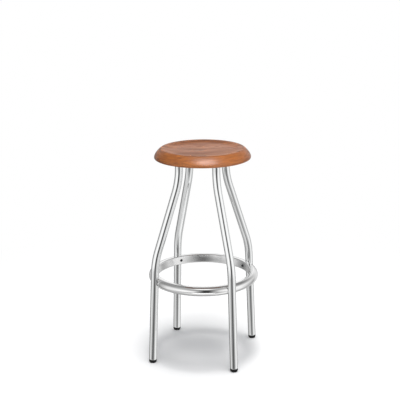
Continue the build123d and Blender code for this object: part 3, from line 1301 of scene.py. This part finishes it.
@dataclass(frozen=True)
class PhotoCamera:
    """Camera at the photograph's viewing angle, a little above the stool and to its right."""

    bearing: float = PHOTO_BEARING
    distance: float = 2.9861
    height: float = 1.3867
    heading: float = -0.00337
    pitch: float = -0.26664
    roll: float = -0.00814
    focal_pixels: float = 877.98
    image_side: float = 400.0
    sensor_mm: float = 36.0

    def place(self) -> None:
        """Makes the camera and lets the scene use it."""
        data = bpy.data.cameras.new("photo_camera")
        data.sensor_width = self.sensor_mm
        data.lens = self.sensor_mm * self.focal_pixels / self.image_side
        camera = bpy.data.objects.new("photo_camera", data)
        stand = Matrix.Translation((0, -self.distance, self.height))
        aim = Matrix.Rotation(-self.heading, 4, "Z") @ Matrix.Rotation(pi / 2 + self.pitch, 4, "X")
        level = Matrix.Rotation(self.roll, 4, "Z")
        camera.matrix_world = Matrix.Rotation(self.bearing, 4, "Z") @ stand @ aim @ level
        bpy.context.scene.collection.objects.link(camera)
        bpy.context.scene.camera = camera


@dataclass(frozen=True)
class Belt:
    """The light that comes from all bearings at one elevation, both in degrees.

    Bearing 0 is the camera's and 90 is to its right.
    """

    elevation: float
    levels: tuple[Pair, ...]


@dataclass(frozen=True)
class Lamp:
    """A flat lamp that faces the stool from a bearing and an elevation, both in degrees.

    Its level is its radiance, and it is aimed at a height on the swivel axis.
    """

    name: str
    size: Pair
    bearing: float
    elevation: float
    distance: float
    level: float
    aim_height: float = 0.0
    glossy: bool = True
    diffuse: bool = True
    only: str = ""
    colour: str = WHITE

    def hang(self) -> None:
        """Hangs the lamp, which lights one piece only if it names one."""
        light = bpy.data.lights.new(self.name, "AREA")
        light.shape = "ELLIPSE"
        light.color = linear(self.colour)[:3]
        light.size, light.size_y = self.size
        # A lamp's power is pi times its radiance and its area.
        light.energy = self.level * pi * (pi / 4 * light.size * light.size_y)
        lamp = bpy.data.objects.new(self.name, light)
        aim = Matrix.Translation((0, 0, self.aim_height))
        turn = Matrix.Rotation(PHOTO_BEARING + radians(self.bearing), 4, "Z")
        lean = Matrix.Rotation(radians(90 - self.elevation), 4, "X")
        lamp.matrix_world = aim @ turn @ lean @ Matrix.Translation((0, 0, self.distance))
        lamp.visible_camera = False
        lamp.visible_glossy = self.glossy
        lamp.visible_diffuse = self.diffuse
        if self.only:
            lit = bpy.data.collections.new(self.name)
            lit.objects.link(bpy.data.objects[self.only])
            lamp.light_linking.receiver_collection = lit
            lamp.light_linking.blocker_collection = lit
        bpy.context.scene.collection.objects.link(lamp)


SURROUND = (
    Belt(-82, ((-180, 0.45), (180, 0.45))),
    Belt(
        -56,
        (
            (-180, 0.5), (-110, 0.45), (-66, 0.6), (-38, 0.9), (-8, 1.05),
            (20, 1.05), (50, 1.3), (70, 1.0), (95, 0.55), (180, 0.5),
        ),
    ),
    Belt(
        -30,
        (
            (-180, 0.15), (-168, 0.2), (-152, 0.75), (-138, 0.6), (-122, 0.15), (-108, 0.25),
            (-90, 0.55), (-60, 0.7), (-34, 0.95), (-16, 0.5), (-2, 0.22),
            (8, 0.2), (20, 0.35), (34, 0.65), (58, 1.1), (85, 1.05),
            (108, 0.6), (125, 0.42), (140, 0.8), (155, 0.75), (170, 0.2), (180, 0.15),
        ),
    ),
    Belt(
        -22,
        (
            (-180, 0.08), (-168, 0.14), (-152, 0.5), (-138, 0.45), (-122, 0.15), (-108, 0.22),
            (-94, 0.7), (-78, 1.05), (-64, 0.8), (-50, 0.52), (-36, 0.3), (-22, 0.15),
            (-12, 0.1), (-2, 0.1), (8, 0.15), (22, 0.3), (38, 0.52), (52, 0.8), (66, 1.0),
            (85, 1.15), (108, 0.6), (125, 0.42), (140, 0.8), (155, 0.75), (170, 0.14), (180, 0.08),
        ),
    ),
    Belt(
        -8,
        (
            (-180, 0.05), (-170, 0.1), (-154, 0.55), (-140, 0.55), (-125, 0.2), (-104, 0.35),
            (-80, 1.0), (-40, 1.25), (-25, 1.1), (-13, 0.4), (-3, 0.03),
            (11, 0.03), (21, 0.25), (34, 0.9), (50, 1.15), (80, 1.15),
            (105, 0.7), (125, 0.4), (140, 0.9), (157, 0.9), (171, 0.1), (180, 0.05),
        ),
    ),
    Belt(
        18,
        (
            (-180, 1.2), (-160, 0.8), (-130, 0.35), (-104, 0.4), (-80, 1.0), (-40, 1.25),
            (-20, 1.1), (-8, 0.45), (1, 0.07), (12, 0.07), (24, 0.6), (40, 1.2), (80, 1.2),
            (110, 0.95), (140, 0.75), (180, 1.2),
        ),
    ),
    Belt(
        46,
        (
            (-180, 0.15), (-100, 0.35), (-60, 0.6), (-45, 0.5), (-26, 0.25), (-9, 0.08),
            (0, 0.02), (8, 0.06), (26, 0.25), (45, 0.5), (60, 0.6), (100, 0.35), (180, 0.15),
        ),
    ),
    Belt(75, ((-180, 0.3), (-50, 0.5), (-22, 1.7), (22, 1.7), (50, 0.5), (180, 0.3))),
    Belt(88, ((-180, 0.3), (180, 0.3))),
)
SOFTBOXES = (
    Lamp(
        "softbox_top", (1.7, 1.3), bearing=130, elevation=87.0, distance=6.0, level=26.8,
        glossy=False, colour=WARM_WHITE,
    ),
    Lamp(
        "softbox_front", (1.8, 1.4), bearing=14, elevation=82.5, distance=6.0, level=16.5,
        glossy=False, colour=WARM_WHITE,
    ),
    Lamp(
        "softbox_low", (1.5, 1.5), bearing=10, elevation=75.0, distance=6.0, level=6.2,
        glossy=False, colour=WARM_WHITE,
    ),
)
TOUCH_LAMPS = (
    Lamp(
        "seat_gloss", (1.7, 2.0), bearing=12, elevation=51, distance=2.7, level=16.5,
        aim_height=0.75, diffuse=False, only="turned_seat", colour=COOL_WHITE,
    ),
    Lamp(
        "seat_fill", (5.0, 1.3), bearing=24, elevation=-3, distance=3.0, level=7.6,
        aim_height=0.75, glossy=False, only="turned_seat",
    ),
    Lamp(
        "ring_gloss", (0.19, 0.05), bearing=0, elevation=-10.6, distance=0.3007, level=1.3,
        aim_height=0.296, diffuse=False, only="footrest_hoop",
    ),
)


@dataclass(frozen=True)
class Studio:
    """White floor, lamps, and a surround that bright metal mirrors.

    The world is white to the camera alone. The photograph's chrome has dark cores and grey
    bands, which a room that is white all round can't give, so metal mirrors a plain studio:
    a narrow dark opening behind the camera, white screens at both sides and a grey ceiling.
    Softboxes overhead cast the shadow, and touch lamps give the seat and the ring their gloss.
    The floor is lifted a little towards plain white, and turns fully white between the two
    distances of floor_white.
    """

    belts: tuple[Belt, ...] = SURROUND
    lamps: tuple[Lamp, ...] = SOFTBOXES + TOUCH_LAMPS
    floor_half: float = 8.0
    floor_colour: str = "#eef0f3"
    floor_white: Pair = (0.55, 1.5)
    floor_lift: float = 0.1

    def build(self) -> None:
        """Builds the floor, the lamps and the surround."""
        bpy.context.scene.view_settings.view_transform = "Standard"
        self.lay_floor()
        for lamp in self.lamps:
            lamp.hang()
        self.surround()

    def lay_floor(self) -> None:
        """Lays a white floor that keeps the stool's shadow and whitens out around it."""
        bm = bmesh.new()
        bmesh.ops.create_grid(bm, x_segments=1, y_segments=1, size=self.floor_half)
        floor = make_piece(bm, "studio_floor")
        floor.visible_glossy = False
        paper = bpy.data.materials.new("white_paper_floor")
        paper.use_nodes = True
        tree = paper.node_tree
        tree.nodes.clear()
        place = add_node(tree, "TexCoord").outputs["Object"]
        distance = add_node(tree, "VectorMath", {0: place}, operation="LENGTH")
        fade = add_node(
            tree,
            "MapRange",
            {
                "Value": distance.outputs["Value"],
                "From Min": self.floor_white[0],
                "From Max": self.floor_white[1],
                "To Min": self.floor_lift,
            },
            interpolation_type="SMOOTHSTEP",
        )
        seen = add_node(
            tree,
            "Math",
            {0: fade.outputs[0], 1: add_node(tree, "LightPath").outputs["Is Camera Ray"]},
            operation="MULTIPLY",
        )
        matt = add_node(tree, "BsdfDiffuse", {"Color": linear(self.floor_colour)})
        white = add_node(tree, "Emission", {"Color": linear(WHITE), "Strength": 1.0})
        mixed = add_node(
            tree,
            "MixShader",
            {0: seen.outputs[0], 1: matt.outputs["BSDF"], 2: white.outputs["Emission"]},
        )
        add_node(tree, "OutputMaterial", {"Surface": mixed.outputs["Shader"]})
        floor.data.materials.append(paper)

    def surround(self) -> None:
        """Builds the world: white to the camera, the belts to everything else."""
        world = bpy.data.worlds.new("studio_surround")
        bpy.context.scene.world = world
        world.use_nodes = True
        tree = world.node_tree
        tree.nodes.clear()
        light = add_node(tree, "Background", {"Color": self.room(tree), "Strength": 1.0})
        white = add_node(tree, "Background", {"Color": linear(WHITE), "Strength": 1.0})
        seen = add_node(tree, "LightPath").outputs["Is Camera Ray"]
        mixed = add_node(
            tree,
            "MixShader",
            {0: seen, 1: light.outputs["Background"], 2: white.outputs["Background"]},
        )
        add_node(tree, "OutputWorld", {"Surface": mixed.outputs["Shader"]})

    def room(self, tree: Tree) -> Socket:
        """Blends the belts into one another, from the lowest to the highest.

        Args:
            tree: The world's node tree.

        Returns:
            The light that comes from each direction.
        """
        way = add_node(tree, "TexCoord").outputs["Generated"]
        turned = add_node(tree, "Mapping", {"Vector": way, "Rotation": (0, 0, -PHOTO_BEARING)})
        axes = add_node(tree, "SeparateXYZ", {"Vector": turned.outputs["Vector"]})
        front = add_node(tree, "Math", {0: axes.outputs["Y"], 1: -1.0}, operation="MULTIPLY")
        bearing = add_node(
            tree, "Math", {0: axes.outputs["X"], 1: front.outputs[0]}, operation="ARCTAN2"
        )
        turn = add_node(
            tree,
            "Math",
            {0: bearing.outputs[0], 1: 1 / FULL_TURN, 2: 0.5},
            operation="MULTIPLY_ADD",
        )
        climb = add_node(tree, "Math", {0: axes.outputs["Z"]}, operation="ARCSINE")
        ramps = []
        for belt in self.belts:
            ramp = add_node(tree, "ValToRGB", {"Fac": turn.outputs[0]})
            set_stops(ramp, ((a / 360 + 0.5, (v, v, v, 1)) for a, v in belt.levels))
            ramps.append(ramp.outputs["Color"])
        room = ramps[0]
        for below, belt, ramp in zip(self.belts, self.belts[1:], ramps[1:]):
            reach = add_node(
                tree,
                "MapRange",
                {
                    "Value": climb.outputs[0],
                    "From Min": radians(below.elevation),
                    "From Max": radians(belt.elevation),
                },
            )
            blend = add_node(tree, "Mix", {0: reach.outputs[0], 6: room, 7: ramp}, data_type="RGBA")
            room = blend.outputs[2]
        return room


def main() -> None:
    """Builds the stool's looks, its studio and its camera, and logs each piece's face count."""
    logging.basicConfig(level=logging.INFO, format="%(message)s")
    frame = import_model()
    for assembly in (Seat(), Legs(), FootrestRing(), Feet(), Hardware(frame["nodes"])):
        pieces = assembly.build()
        assembly.dress(pieces)
        for piece in pieces:
            LOG.info("%s: %s, %d faces", type(assembly).__name__, piece.name, len(piece.data.polygons))
    Studio().build()
    PhotoCamera().place()


if __name__ == "__main__":
    main()
